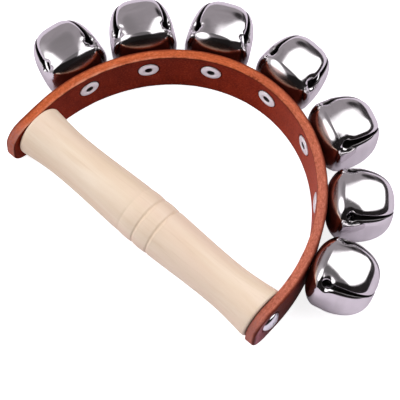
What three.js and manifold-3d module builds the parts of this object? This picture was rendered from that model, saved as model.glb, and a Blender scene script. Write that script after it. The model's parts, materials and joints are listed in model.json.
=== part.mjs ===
// Hand jingle: a turned wooden handle closed into a D by a stiff leather strap that carries a row of bells.
// Each bell is a four-petal pressed shell with a loose steel ball, turning on a tubular rivet.
// Millimetres. +X runs along the handle, +Y from the handle to the top of the arch, +Z up.
// The jingle lies flat, with the strap's lower edge on the ground.

import * as THREE from 'three';
import { mergeVertices } from 'three/addons/utils/BufferGeometryUtils.js';
import Module from 'manifold-3d';

// Handle, turned from one piece of wood
const HANDLE_LENGTH = 120;
const HANDLE_BELLY_R = 10.8;
const HANDLE_WAIST_R = 9.6;
const HANDLE_FLARE_R = 11;
const WAIST_FROM_END = 20;
const END_ROUND = 1.8;
const RING_SPACING = 7.4;
const RING_SHIFT = 1.2;
const RING_HALF_WIDTH = 0.6;
const RING_DEPTHS = [0.15, 0.45, 0.45];

// Leather strap, bent into an arch on edge
const STRAP_WIDTH = 23.2;
const STRAP_THICKNESS = 4.3;
const ARCH_RISE = 68.4;
const LEG_STRAIGHT = 5.4;
const TAIL_LEFT = 13.5;
const TAIL_RIGHT = 10;
const TAIL_CORNER_R = 9;
const HOLE_LINE_HEIGHT = 14.4;

// Bells, pressed from sheet metal, each turned a little on its rivet
const BELL_TURNS_DEG = [-11, -4, 3, 8, -1, -1, -3];
const BELL_HALF_WIDTH = 13.7;
const BELL_HEIGHT = 27;
const BELL_RIDGE_AT = 6;
const BELL_SQUARE_AT = 12;
const BELL_FLOOR_R = 6;
const BELL_WALL = 0.8;
const BELL_GAP = 4.3;
const BASE_POWER = 1.7;
const PETAL_POWER = 2.75;
const SQUARENESS = 3.1;
const SLOT_WIDTH = 2.4;
const SLOT_TIP_WIDTH = 1;
const KEYHOLE_R = 2.2;
const KEYHOLE_HEIGHT = 9;
const PELLET_R = 4;
const PELLET_HEIGHT = 8;

// Tubular rivets and wood screws
const RIVET_BORE_R = 1.4;
const RIVET_BARREL_R = 2;
const RIVET_FLANGE_R = 4.3;
const RIVET_FLANGE_THICKNESS = 0.9;
const RIVET_RIM_THICKNESS = 0.45;
const RIVET_MOUTH_R = 2.4;
const RIVET_MOUTH_DEPTH = 0.55;
const RIVET_CLINCH_R = 3.2;
const RIVET_CLINCH_THICKNESS = 0.7;
const FLANGE_SINK = 0.5;
const SCREW_HEAD_R = 4.5;
const SCREW_HEAD_HEIGHT = 2;
const SCREW_HEAD_RIM = 0.4;
const HEAD_SINK = 1;
const SCREW_SHANK_R = 1.9;
const SCREW_GRIP = 24;
const SCREW_POINT = 4;
const RECESS_SPAN = 3;
const RECESS_WIDTH = 0.8;
const RECESS_DEPTH = 1.1;

// Fits
const SEAT_GAP = 0.3;
const HOLE_GAP = 0.3;
const PELLET_GAP = 0.5;
const CUT_SPARE = 1;

// Facets
const HANDLE_SIDES = 20;
const HANDLE_STEP = 6;
const ARCH_STEPS = 40;
const BELL_SIDES = 20;
const BELL_STEPS = 5;
const CAVITY_SIDES = 16;
const CAVITY_STEPS = 4;
const KEYHOLE_STEPS = 8;
const PELLET_SIDES = 8;
const PELLET_STEPS = 6;
const ROUND_SIDES = 16;
const QUARTER_STEPS = 3;
const TAIL_STEPS = 6;

// Sizes that follow from the ones above
const bellCount = BELL_TURNS_DEG.length;
const halfSpan = HANDLE_LENGTH / 2 + SEAT_GAP;
const bellSeat = STRAP_THICKNESS + SEAT_GAP;
const rivetHoleR = RIVET_BARREL_R + HOLE_GAP;
const pilotR = SCREW_SHANK_R + HOLE_GAP;
const screwLength = STRAP_THICKNESS - HEAD_SINK + SEAT_GAP + SCREW_GRIP;
const pelletDrop = BELL_HALF_WIDTH - BELL_WALL - PELLET_R - PELLET_GAP;

// Rivet spacing along the strap that leaves the wanted gap between fully squared flanks where the arch is flattest
const flattestRadius = ARCH_RISE ** 2 / halfSpan;
const fanOut = 1 + (bellSeat + BELL_SQUARE_AT) / flattestRadius;
const rivetPitch = (2 * BELL_HALF_WIDTH + BELL_GAP) / fanOut;

const wasm = await Module();
wasm.setup();

// A solid from a closed geometry: corners at one point become one vertex, and flattened triangles go
function solid(geometry) {
  const bare = geometry.clone();
  bare.deleteAttribute('normal');
  bare.deleteAttribute('uv');
  const merged = mergeVertices(bare);
  const corners = merged.index.array;
  const kept = [];
  for (let i = 0; i < corners.length; i += 3) {
    const [a, b, c] = corners.slice(i, i + 3);
    if (a !== b && b !== c && c !== a) kept.push(a, b, c);
  }
  return new wasm.Manifold(new wasm.Mesh({
    numProp: 3,
    vertProperties: new Float32Array(merged.attributes.position.array),
    triVerts: new Uint32Array(kept),
  }));
}

function geometryOf(body) {
  const { vertProperties, triVerts } = body.getMesh();
  const geometry = new THREE.BufferGeometry();
  geometry.setAttribute('position', new THREE.BufferAttribute(vertProperties, 3));
  geometry.setIndex(new THREE.BufferAttribute(triVerts, 1));
  geometry.computeVertexNormals();
  return geometry;
}

// A turned form about the Y axis, from a profile of radius and height
function turned(profile, sides) {
  const points = profile.map(([radius, height]) => new THREE.Vector2(radius, height));
  return new THREE.LatheGeometry(points, sides);
}

function cylinder(radius, from, to) {
  return new THREE.CylinderGeometry(radius, radius, to - from, ROUND_SIDES).translate(0, (from + to) / 2, 0);
}

function blend(from, to, share) {
  return from + (to - from) * share;
}

// Handle radius at a distance from its middle: a belly, a waist near each end, and a flare at the end
function handleRadius(x) {
  const waistAt = HANDLE_LENGTH / 2 - WAIST_FROM_END;
  const out = Math.abs(x);
  if (out < waistAt) {
    return blend(HANDLE_WAIST_R, HANDLE_BELLY_R, (1 + Math.cos(Math.PI * out / waistAt)) / 2);
  }
  const share = (out - waistAt) / (WAIST_FROM_END - END_ROUND);
  return blend(HANDLE_WAIST_R, HANDLE_FLARE_R, 1 - Math.cos(Math.PI / 2 * share));
}

// Even angles from nothing to a right angle, for rounding an edge
function quarterTurn() {
  return Array.from({ length: QUARTER_STEPS + 1 }, (_, i) => Math.PI / 2 * i / QUARTER_STEPS);
}

function roundedEnd(side) {
  const centre = side * (HANDLE_LENGTH / 2 - END_ROUND);
  return quarterTurn().map((angle) => {
    const inward = END_ROUND * (1 - Math.cos(angle));
    return [HANDLE_FLARE_R - inward, centre + side * END_ROUND * Math.sin(angle)];
  });
}

// Profile along the handle, from the bottom of one pilot hole round the outside to the bottom of the other
function handleProfile() {
  const half = HANDLE_LENGTH / 2;
  const pilotEnd = half - SCREW_GRIP - SEAT_GAP;
  const body = [];
  const rings = RING_DEPTHS.map((depth, i) => ({ x: RING_SHIFT + (i - 1) * RING_SPACING, depth }));
  const plainHalf = half - END_ROUND - HANDLE_STEP / 2;
  for (let i = 0, count = Math.round(2 * plainHalf / HANDLE_STEP); i <= count; i += 1) {
    const x = blend(-plainHalf, plainHalf, i / count);
    if (rings.every((ring) => Math.abs(x - ring.x) > 2 * RING_HALF_WIDTH)) body.push([handleRadius(x), x]);
  }
  for (const { x, depth } of rings) {
    body.push([handleRadius(x - RING_HALF_WIDTH), x - RING_HALF_WIDTH]);
    body.push([handleRadius(x) - depth, x]);
    body.push([handleRadius(x + RING_HALF_WIDTH), x + RING_HALF_WIDTH]);
  }
  body.sort((a, b) => a[1] - b[1]);
  return [
    [0, -pilotEnd], [pilotR, -pilotEnd], [pilotR, -half],
    ...roundedEnd(-1).reverse(), ...body, ...roundedEnd(1),
    [pilotR, half], [pilotR, pilotEnd], [0, pilotEnd],
  ];
}

function makeHandle() {
  return turned(handleProfile(), HANDLE_SIDES).rotateZ(-Math.PI / 2);
}

// Inner face of the arch: a half ellipse above two straight legs that cross the handle's ends
const archCurve = new THREE.EllipseCurve(0, LEG_STRAIGHT, halfSpan, ARCH_RISE, Math.PI, 0, true);

function archNormal(angle) {
  return new THREE.Vector2(Math.cos(angle) / halfSpan, Math.sin(angle) / ARCH_RISE).normalize();
}

// Where a rivet crosses the inner face, counted from the left, and the angle of the strap's outward normal
function rivetStation(index) {
  const along = (index - (bellCount - 1) / 2) * rivetPitch;
  const share = 0.5 + along / archCurve.getLength();
  const place = archCurve.getPointAt(share);
  const angle = Math.atan2((place.y - LEG_STRAIGHT) / ARCH_RISE, place.x / halfSpan);
  const outward = archNormal(angle);
  return { x: place.x, y: place.y, turn: Math.atan2(outward.y, outward.x) - Math.PI / 2 };
}

function strapOutline() {
  const inner = [];
  const outer = [];
  for (let i = 0; i <= ARCH_STEPS; i += 1) {
    const angle = Math.PI * (1 - i / ARCH_STEPS);
    const place = new THREE.Vector2(
      halfSpan * Math.cos(angle),
      LEG_STRAIGHT + ARCH_RISE * Math.sin(angle),
    );
    inner.push(place);
    outer.push(place.clone().addScaledVector(archNormal(angle), STRAP_THICKNESS));
  }
  const outside = halfSpan + STRAP_THICKNESS;
  return new THREE.Shape([
    new THREE.Vector2(-halfSpan, -TAIL_LEFT), ...inner, new THREE.Vector2(halfSpan, -TAIL_RIGHT),
    new THREE.Vector2(outside, -TAIL_RIGHT), ...outer.reverse(), new THREE.Vector2(-outside, -TAIL_LEFT),
  ]);
}

// What is trimmed off a strap tail to leave a tongue with two round corners, drawn from the side
function tailTrim(side, tail) {
  const end = -tail;
  const shoulder = end + TAIL_CORNER_R;
  const trim = new THREE.Shape();
  trim.moveTo(end - CUT_SPARE, -CUT_SPARE);
  trim.lineTo(shoulder, -CUT_SPARE);
  trim.lineTo(shoulder, 0);
  trim.absarc(shoulder, TAIL_CORNER_R, TAIL_CORNER_R, -Math.PI / 2, Math.PI, true);
  trim.lineTo(end, STRAP_WIDTH - TAIL_CORNER_R);
  trim.absarc(shoulder, STRAP_WIDTH - TAIL_CORNER_R, TAIL_CORNER_R, Math.PI, Math.PI / 2, true);
  trim.lineTo(shoulder, STRAP_WIDTH + CUT_SPARE);
  trim.lineTo(end - CUT_SPARE, STRAP_WIDTH + CUT_SPARE);
  const depth = STRAP_THICKNESS + 2 * CUT_SPARE;
  const sideways = new THREE.Matrix4().makeBasis(
    new THREE.Vector3(0, 1, 0), new THREE.Vector3(0, 0, 1), new THREE.Vector3(1, 0, 0),
  );
  const start = side > 0 ? halfSpan - CUT_SPARE : -halfSpan - STRAP_THICKNESS - CUT_SPARE;
  return new THREE.ExtrudeGeometry(trim, { depth, bevelEnabled: false, curveSegments: TAIL_STEPS })
    .applyMatrix4(sideways)
    .translate(start, 0, 0);
}

function makeStrap() {
  const band = new THREE.ExtrudeGeometry(strapOutline(), { depth: STRAP_WIDTH, bevelEnabled: false });
  let strap = solid(band).subtract(solid(tailTrim(-1, TAIL_LEFT))).subtract(solid(tailTrim(1, TAIL_RIGHT)));
  const through = 2 * STRAP_THICKNESS;
  for (let i = 0; i < bellCount; i += 1) {
    const { x, y, turn } = rivetStation(i);
    const hole = cylinder(rivetHoleR, -STRAP_THICKNESS, through);
    const sinking = cylinder(RIVET_FLANGE_R + HOLE_GAP, -STRAP_THICKNESS, FLANGE_SINK);
    for (const cut of [hole, sinking]) {
      strap = strap.subtract(solid(cut.rotateZ(turn).translate(x, y, HOLE_LINE_HEIGHT)));
    }
  }
  for (const side of [-1, 1]) {
    const hole = cylinder(pilotR, -STRAP_THICKNESS, through);
    const sinking = cylinder(SCREW_HEAD_R + HOLE_GAP, STRAP_THICKNESS - HEAD_SINK, through);
    for (const cut of [hole, sinking]) {
      cut.rotateZ(-side * Math.PI / 2).translate(side * halfSpan, 0, HOLE_LINE_HEIGHT);
      strap = strap.subtract(solid(cut));
    }
  }
  return geometryOf(strap);
}

// Closed bell form about +Y, inset evenly from the outer surface: a round floor, a base that swells to a ridge,
// and flanks that square off above it into the petals
function bellForm(inset, sides, steps) {
  const widest = BELL_HALF_WIDTH - inset;
  const below = BELL_RIDGE_AT - inset;
  const above = BELL_HEIGHT - inset - BELL_RIDGE_AT;
  const profile = [[0, inset]];
  for (let i = -steps; i < steps; i += 1) {
    const angle = Math.PI / 2 * Math.abs(i) / steps;
    const power = 2 / (i < 0 ? BASE_POWER : PETAL_POWER);
    const out = i === -steps ? 0 : Math.cos(angle) ** power;
    const rise = Math.sin(angle) ** power;
    if (i < 0) profile.push([blend(BELL_FLOOR_R, widest, out), BELL_RIDGE_AT - below * rise]);
    else profile.push([widest * out, BELL_RIDGE_AT + above * rise]);
  }
  profile.push([0, BELL_HEIGHT - inset]);
  const form = turned(profile, sides);
  const place = form.attributes.position;
  for (let i = 0; i < place.count; i += 1) {
    const angle = Math.atan2(place.getX(i), place.getZ(i));
    const share = Math.min(1, place.getY(i) / BELL_SQUARE_AT);
    const squareness = blend(2, SQUARENESS, share);
    const spread = Math.abs(Math.cos(angle)) ** squareness + Math.abs(Math.sin(angle)) ** squareness;
    const stretch = spread ** (-1 / squareness);
    place.setXYZ(i, place.getX(i) * stretch, place.getY(i), place.getZ(i) * stretch);
  }
  return form;
}

// Blade that cuts two opposite slots: a keyhole low on the flank, and a slot narrowing to the tips of the petals
function slotBlade() {
  const past = BELL_HEIGHT + CUT_SPARE;
  const outline = new THREE.Shape();
  const shoulder = Math.acos(SLOT_WIDTH / 2 / KEYHOLE_R);
  outline.moveTo(-SLOT_TIP_WIDTH / 2, past);
  outline.lineTo(-SLOT_WIDTH / 2, KEYHOLE_HEIGHT + KEYHOLE_R * Math.sin(shoulder));
  outline.absarc(0, KEYHOLE_HEIGHT, KEYHOLE_R, Math.PI - shoulder, 2 * Math.PI + shoulder, false);
  outline.lineTo(SLOT_TIP_WIDTH / 2, past);
  const depth = 4 * BELL_HALF_WIDTH;
  return new THREE.ExtrudeGeometry(outline, { depth, bevelEnabled: false, curveSegments: KEYHOLE_STEPS })
    .translate(0, 0, -depth / 2);
}

function makeBellShell() {
  const outside = solid(bellForm(0, BELL_SIDES, BELL_STEPS));
  let shell = outside.subtract(solid(bellForm(BELL_WALL, CAVITY_SIDES, CAVITY_STEPS)));
  for (const degrees of [45, 135]) {
    shell = shell.subtract(solid(slotBlade().rotateY(THREE.MathUtils.degToRad(degrees))));
  }
  return geometryOf(shell.subtract(solid(cylinder(rivetHoleR, -CUT_SPARE, 2 * BELL_WALL))));
}

// Tubular rivet: a domed flange sunk in the strap's inner face, a barrel, and a collar rolled inside the bell
function makeRivet() {
  const flangeBack = FLANGE_SINK - SEAT_GAP;
  const flangeFront = flangeBack - RIVET_FLANGE_THICKNESS;
  const clinchBack = bellSeat + BELL_WALL + SEAT_GAP;
  const clinchFront = clinchBack + RIVET_CLINCH_THICKNESS;
  const mouth = [RIVET_BORE_R, flangeFront + RIVET_MOUTH_DEPTH];
  return turned([
    mouth,
    [RIVET_MOUTH_R, flangeFront],
    [RIVET_FLANGE_R, flangeBack - RIVET_RIM_THICKNESS],
    [RIVET_FLANGE_R, flangeBack],
    [RIVET_BARREL_R, flangeBack],
    [RIVET_BARREL_R, clinchBack],
    [RIVET_CLINCH_R, clinchBack],
    [RIVET_BORE_R, clinchFront],
    mouth,
  ], ROUND_SIDES);
}

// Wood screw along +Y from the strap's outer face: domed head sunk in the leather, with a cross recess, plain
// shank and conical point
function makeScrew() {
  const headSeat = SEAT_GAP - HEAD_SINK;
  const rim = headSeat + SCREW_HEAD_RIM;
  const top = headSeat + SCREW_HEAD_HEIGHT;
  const dome = quarterTurn().slice(0, -1).map((angle) => (
    [SCREW_HEAD_R * Math.cos(angle), blend(rim, top, Math.sin(angle))]
  ));
  const tip = headSeat - screwLength;
  const body = turned([
    [0, tip], [SCREW_SHANK_R, tip + SCREW_POINT], [SCREW_SHANK_R, headSeat], [SCREW_HEAD_R, headSeat],
    ...dome, [0, top],
  ], ROUND_SIDES);
  let screw = solid(body);
  for (const [sizeX, sizeZ] of [[RECESS_SPAN, RECESS_WIDTH], [RECESS_WIDTH, RECESS_SPAN]]) {
    const slot = new THREE.BoxGeometry(sizeX, 2 * RECESS_DEPTH, sizeZ);
    screw = screw.subtract(solid(slot.translate(0, top, 0)));
  }
  return geometryOf(screw);
}

const wood = { color: 0xecd9bf, roughness: 0.5, metalness: 0 };
const leather = { color: 0x7a3220, roughness: 0.6, metalness: 0 };
const nickel = { color: 0xd6d2d8, roughness: 0.12, metalness: 1 };
const steel = { color: 0x9a9a9c, roughness: 0.3, metalness: 1 };

function piece(name, geometry, finish) {
  const mesh = new THREE.Mesh(geometry, new THREE.MeshStandardMaterial(finish));
  mesh.name = name;
  return mesh;
}

// One bell with its ball and rivet, about a rivet axis that points out of the arch
function bellStation(index, shellGeometry, rivetGeometry, pelletGeometry) {
  const number = index + 1;
  const shell = piece(`bell_shell_${number}`, shellGeometry, nickel);
  shell.position.y = bellSeat;
  shell.rotation.y = THREE.MathUtils.degToRad(BELL_TURNS_DEG[index]);
  const pellet = piece(`bell_pellet_${number}`, pelletGeometry, steel);
  pellet.position.set(0, bellSeat + PELLET_HEIGHT, -pelletDrop);
  const rivet = piece(`bell_rivet_${number}`, rivetGeometry, nickel);
  const { x, y, turn } = rivetStation(index);
  const station = new THREE.Group().add(shell, pellet, rivet);
  station.position.set(x, y, HOLE_LINE_HEIGHT);
  station.rotation.z = turn;
  return station;
}

function screwStation(name, side, geometry) {
  const screw = piece(name, geometry, nickel);
  screw.position.set(side * (halfSpan + STRAP_THICKNESS), 0, HOLE_LINE_HEIGHT);
  screw.rotation.z = -side * Math.PI / 2;
  return screw;
}

const jingle = new THREE.Group();

const handle = piece('handle', makeHandle(), wood);
handle.position.z = HOLE_LINE_HEIGHT;
jingle.add(handle, piece('strap', makeStrap(), leather));

const shellGeometry = makeBellShell();
const rivetGeometry = makeRivet();
const pelletGeometry = new THREE.SphereGeometry(PELLET_R, PELLET_SIDES, PELLET_STEPS);
for (let i = 0; i < bellCount; i += 1) {
  jingle.add(bellStation(i, shellGeometry, rivetGeometry, pelletGeometry));
}

const screwGeometry = makeScrew();
jingle.add(screwStation('handle_screw_left', -1, screwGeometry));
jingle.add(screwStation('handle_screw_right', 1, screwGeometry));

// Origin on the ground, under the middle of the whole jingle
const box = new THREE.Box3().setFromObject(jingle, true);
const middle = box.getCenter(new THREE.Vector3());
jingle.position.set(-middle.x, -middle.y, -box.min.z);

export default jingle;
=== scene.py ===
"""Hand jingle: a turned wooden handle closed into a D by a leather strap that carries a row of petal bells.

Metres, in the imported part's frame: +X along the handle, +Y from the handle to the top of the arch, +Z up.
"""

import json

import bpy
import numpy as np
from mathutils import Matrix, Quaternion, Vector


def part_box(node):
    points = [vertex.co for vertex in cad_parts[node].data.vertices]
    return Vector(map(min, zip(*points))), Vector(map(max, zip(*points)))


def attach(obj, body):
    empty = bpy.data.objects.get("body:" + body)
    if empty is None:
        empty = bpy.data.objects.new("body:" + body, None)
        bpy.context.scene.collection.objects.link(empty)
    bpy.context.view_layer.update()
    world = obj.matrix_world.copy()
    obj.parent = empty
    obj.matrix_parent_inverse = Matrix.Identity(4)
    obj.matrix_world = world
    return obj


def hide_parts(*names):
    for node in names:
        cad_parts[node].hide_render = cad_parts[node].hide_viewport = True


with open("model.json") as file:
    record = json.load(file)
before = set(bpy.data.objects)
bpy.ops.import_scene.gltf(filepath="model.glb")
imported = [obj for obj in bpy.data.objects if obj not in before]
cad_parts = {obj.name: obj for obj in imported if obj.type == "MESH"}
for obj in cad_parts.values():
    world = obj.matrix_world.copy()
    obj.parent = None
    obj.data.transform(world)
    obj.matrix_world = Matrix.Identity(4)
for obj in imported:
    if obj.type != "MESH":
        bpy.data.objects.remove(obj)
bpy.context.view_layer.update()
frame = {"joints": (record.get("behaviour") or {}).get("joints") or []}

MM = 0.001

# Handle
WAIST_R = 9.6 * MM
BELLY_R = 10.8 * MM
FLARE_R = 11 * MM
WAIST_FROM_END = 20 * MM
END_ROUND = 1.8 * MM
RIGHT_END_ROUND = 0.8 * MM
RING_SPACING = 7.4 * MM
RING_SHIFT = 1.2 * MM
RING_HALF_WIDTH = 0.9 * MM
RING_DEPTHS = (0.12 * MM, 0.38 * MM, 0.38 * MM)
BEAD_SWELL = 0.16 * MM

# Strap
STRAP_THICKNESS = 4.3 * MM
LEG_STRAIGHT = 5.4 * MM
TAIL_LEFT = 13.5 * MM
TAIL_RIGHT = 10 * MM
TAIL_CORNER_R = 9 * MM
INNER_EDGE_R = 0.35 * MM
OUTER_EDGE_R = 0.8 * MM
EDGE_WOBBLE = 0.16 * MM
WOBBLE_LENGTHS = np.array([31, 17, 9.3, 5.1, 2.9]) * MM
WOBBLE_WEIGHTS = np.array([1, 0.8, 0.6, 0.45, 0.35])
LOW_EDGE_SEED = 3
HIGH_EDGE_SEED = 5
FLANGE_DIMPLE = 0.45 * MM
DIMPLE_SLOPE = 1 * MM
TIP_REACH = 12 * MM
BURNISH_SHIFT = 1 * MM

# Bells
BELL_TURNS_DEG = (-11, -4, 3, 8, -1, -1, -3)
BELL_HALF_WIDTH = 13.7 * MM
BELL_HEIGHT = 27 * MM
BELL_RIDGE_AT = 6 * MM
BELL_SQUARE_AT = 12 * MM
BELL_FLOOR_R = 6 * MM
BELL_WALL = 0.8 * MM
BASE_POWER = 1.7
PETAL_POWER = 2.75
SQUARENESS = 3.1
PETALS = 4
SLOT_WIDTH = 2.8 * MM
SLOT_TIP_WIDTH = 1 * MM
KEYHOLE_R = 2.2 * MM
KEYHOLE_HEIGHT = 9 * MM
RIM_BULGE = 0.5
RIM_EASE_ROWS = 3
CURL_REACH = 1.5 * MM
CURL_DEPTH = 0.2 * MM
CRUMPLE_DEPTH = 0.8 * MM
CRUMPLE_REACH = 2.5 * MM
CRUMPLE_LENGTH = 3 * MM
CRUMPLE_WAVES = 3
CRUMPLE_SEEDS = (1, 12, 13, 14, 15, 46, 37)

# Rivets, screws and balls
RIVET_BORE_R = 1.4 * MM
RIVET_BARREL_R = 2 * MM
RIVET_FLANGE_R = 4.3 * MM
RIVET_FLANGE_THICKNESS = 0.9 * MM
RIVET_RIM_THICKNESS = 0.45 * MM
RIVET_MOUTH_R = 2.4 * MM
RIVET_MOUTH_DEPTH = 0.55 * MM
RIVET_CLINCH_R = 3.2 * MM
RIVET_CLINCH_THICKNESS = 0.7 * MM
# Roundings from the mouth over the flange and down the barrel to the collar
RIVET_ROUNDS = np.array([0.4, 0.7, 0.3, 0.12, 0.1, 0.1, 0.15, 0.3]) * MM
BORE_SHADE_START = 0.4 * MM
BORE_SHADE_FULL = 0.1 * MM
FLANGE_SINK = 0.5 * MM
SCREW_HEAD_R = 4.5 * MM
SCREW_HEAD_HEIGHT = 2.5 * MM
SCREW_HEAD_RIM = 0.4 * MM
SCREW_HEAD_CHAMFER = 0.2 * MM
HEAD_SINK = 1 * MM
SCREW_SHANK_R = 1.9 * MM
SCREW_GRIP = 24 * MM
SCREW_POINT = 4 * MM
SCREW_POINT_ROUND = 0.6 * MM
RECESS_SPAN = 3 * MM
RECESS_WIDTH = 0.8 * MM
RECESS_DEPTH = 1.1 * MM
RECESS_SOFT = 0.15 * MM
PELLET_R = 4 * MM

# Fits
SEAT_GAP = 0.3 * MM
HOLE_GAP = 0.3 * MM
WELD = 0.0005 * MM
HOLE_END = 0.01 * MM
TINY = 1e-12

# Points of the turned grids
HANDLE_ALONG = 180
HANDLE_RING = 31
HANDLE_RING_REACH = 1.5
HANDLE_END = 9
HANDLE_SIDES = 112
CORNER_STEPS = 5
RIVET_SIDES = 56
SCREW_DOME = 40
SCREW_SIDES = 96
PELLET_ARC = 25
PELLET_SIDES = 40

# Points of the bells' grids
BASE_ROWS = 24
BASE_CROWDING = 1.5
RIDGE_ROWS = 6
KEYHOLE_ROWS = 22
SLOT_ROWS = 52
PETAL_COLUMNS = 30
RIM_STEPS = 8
FLOOR_STEPS = 5
TIP_TRIALS = np.linspace(0.9, 1, 2000)
LEAN_PASSES = 8

# Points of the strap's grids, and how near to a hole its close columns start, stop and leave the even ones
ARCH_STEPS = 3001
STRAP_COLUMNS = 210
HOLE_COLUMNS = 29
BESIDE_COLUMNS = 18
BESIDE_START = 0.2 * MM
BESIDE_STOP = 5.4 * MM
EVEN_FROM = 5.6 * MM
CORNER_COLUMNS = 20
COLUMN_DIGITS = 8
LOWER_ROWS = 28
UPPER_ROWS = 20
EDGE_ROUND_STEPS = 6
EDGE_FLAT_STEPS = 9
HOLE_WALL_STEPS = 5
MEETING_EASE = 0.8 * TAIL_CORNER_R

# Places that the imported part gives
handle_low, handle_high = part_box("handle")
strap_low, strap_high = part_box("strap")
middle = (handle_low + handle_high) / 2
handle_half = (handle_high.x - handle_low.x) / 2
half_span = handle_half + SEAT_GAP
arch_foot = middle.y + LEG_STRAIGHT
arch_rise = strap_high.y - STRAP_THICKNESS - arch_foot
bell_seat = STRAP_THICKNESS + SEAT_GAP
rivet_hole_r = RIVET_BARREL_R + HOLE_GAP
pilot_r = SCREW_SHANK_R + HOLE_GAP
UP = np.array([0.0, 0.0, 1.0])

bell_joints = [joint for joint in frame["joints"] if joint["type"] == "hinge"]
bell_places = [np.array(joint["pos_m"]) for joint in bell_joints]
bell_axes = [np.array(joint["axis"]) for joint in bell_joints]


def smooth_step(low, high, value):
    """0 on low's side, 1 on high's side, and a cubic ease between them."""
    share = np.clip((value - low) / (high - low), 0, 1)
    return share * share * (3 - 2 * share)


# Meshes


def sheet(points, around=False, flip=False, **marks):
    """One grid of points with its marks: numbers at each point that a material reads."""
    return {"points": points, "around": around, "flip": flip, "marks": marks}


def grid_quads(rows, columns, around, flip):
    """Corner numbers of the quads between neighbouring rows and columns, closed round if asked."""
    number = np.arange(rows * columns).reshape(rows, columns)
    beside = np.roll(number, -1, axis=1)
    corners = np.stack([number[:-1], beside[:-1], beside[1:], number[1:]], axis=-1)
    if not around:
        corners = corners[:, :-1]
    if flip:
        corners = corners[..., ::-1]
    return corners.reshape(-1, 4)


def joined(sheets):
    """The points, quads and marks of several grids, numbered as one."""
    points, quads, count = [], [], 0
    names = sorted({name for part in sheets for name in part["marks"]})
    marks = {name: [] for name in names}
    for part in sheets:
        rows, columns, _ = part["points"].shape
        points.append(part["points"].reshape(-1, 3))
        quads.append(grid_quads(rows, columns, part["around"], part["flip"]) + count)
        for name in names:
            value = part["marks"].get(name, 0.0)
            marks[name].append(np.broadcast_to(value, (rows, columns)).ravel())
        count += rows * columns
    marks = {name: np.concatenate(values) for name, values in marks.items()}
    return np.concatenate(points), np.concatenate(quads), marks


def welded_mesh(name, sheets):
    """A mesh from grids.

    Points at one place become one, and quads that lose a corner by it become triangles or go.
    """
    points, quads, marks = joined(sheets)
    keys = np.round(points / WELD).astype(np.int64)
    _, first, number = np.unique(keys, axis=0, return_index=True, return_inverse=True)
    faces = number.reshape(-1)[quads]
    kept = faces != np.roll(faces, -1, axis=1)
    sound = kept.sum(axis=1) >= 3
    faces, kept = faces[sound], kept[sound]
    sizes = kept.sum(axis=1)
    corners = faces[kept]
    mesh = bpy.data.meshes.new(name)
    mesh.vertices.add(len(first))
    mesh.vertices.foreach_set("co", points[first].astype(np.float32).ravel())
    mesh.loops.add(len(corners))
    mesh.loops.foreach_set("vertex_index", corners.astype(np.int32))
    mesh.polygons.add(len(sizes))
    mesh.polygons.foreach_set("loop_start", (np.cumsum(sizes) - sizes).astype(np.int32))
    mesh.polygons.foreach_set("use_smooth", np.ones(len(sizes), dtype=bool))
    for mark, values in marks.items():
        layer = mesh.attributes.new(mark, "FLOAT", "POINT")
        layer.data.foreach_set("value", values[first].astype(np.float32))
    mesh.update(calc_edges=True)
    mesh.validate()
    return mesh


def make_piece(name, sheets, material, body, node):
    """A finished piece with its material, parented to a body's empty; the node of the part that it stands for
    is hidden.
    """
    mesh = welded_mesh(name, sheets)
    mesh.materials.append(material)
    piece = bpy.data.objects.new(name, mesh)
    bpy.context.scene.collection.objects.link(piece)
    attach(piece, body)
    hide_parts(node)


# Turned forms


def rounded_profile(corners):
    """A line of radius and height through corners given as (radius, height, rounding).

    Each corner with a rounding is replaced by a quadratic curve that starts and ends that far from it.
    """
    spots = np.array([corner[:2] for corner in corners])
    share = np.linspace(0, 1, CORNER_STEPS + 1)[:, None]
    line = []
    for i, (_, _, rounding) in enumerate(corners):
        if rounding == 0:
            line.append(spots[i:i + 1])
            continue
        before, after = spots[i - 1] - spots[i], spots[(i + 1) % len(spots)] - spots[i]
        start = spots[i] + before * rounding / np.linalg.norm(before)
        end = spots[i] + after * rounding / np.linalg.norm(after)
        line.append((1 - share) ** 2 * start + 2 * share * (1 - share) * spots[i] + share ** 2 * end)
    return np.concatenate(line)


def turned(profile, sides):
    """A profile of radius and height carried round +Y: each point goes round a circle of its own radius."""
    angle = np.linspace(0, 2 * np.pi, sides, endpoint=False)
    radius, height = profile[:, 0:1], profile[:, 1:2]
    x = radius * np.sin(angle)
    z = radius * np.cos(angle)
    return np.stack([x, np.broadcast_to(height, x.shape), z], axis=-1)


def station(points, place, axis, turn=0.0):
    """Points about +Y set at a place, with +Y along the axis and +Z up, turned about the axis first."""
    cosine, sine = np.cos(turn), np.sin(turn)
    x, y, z = points[..., 0:1], points[..., 1:2], points[..., 2:3]
    side = np.cross(axis, UP)
    return place + (x * cosine + z * sine) * side + y * axis + (z * cosine - x * sine) * UP


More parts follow.
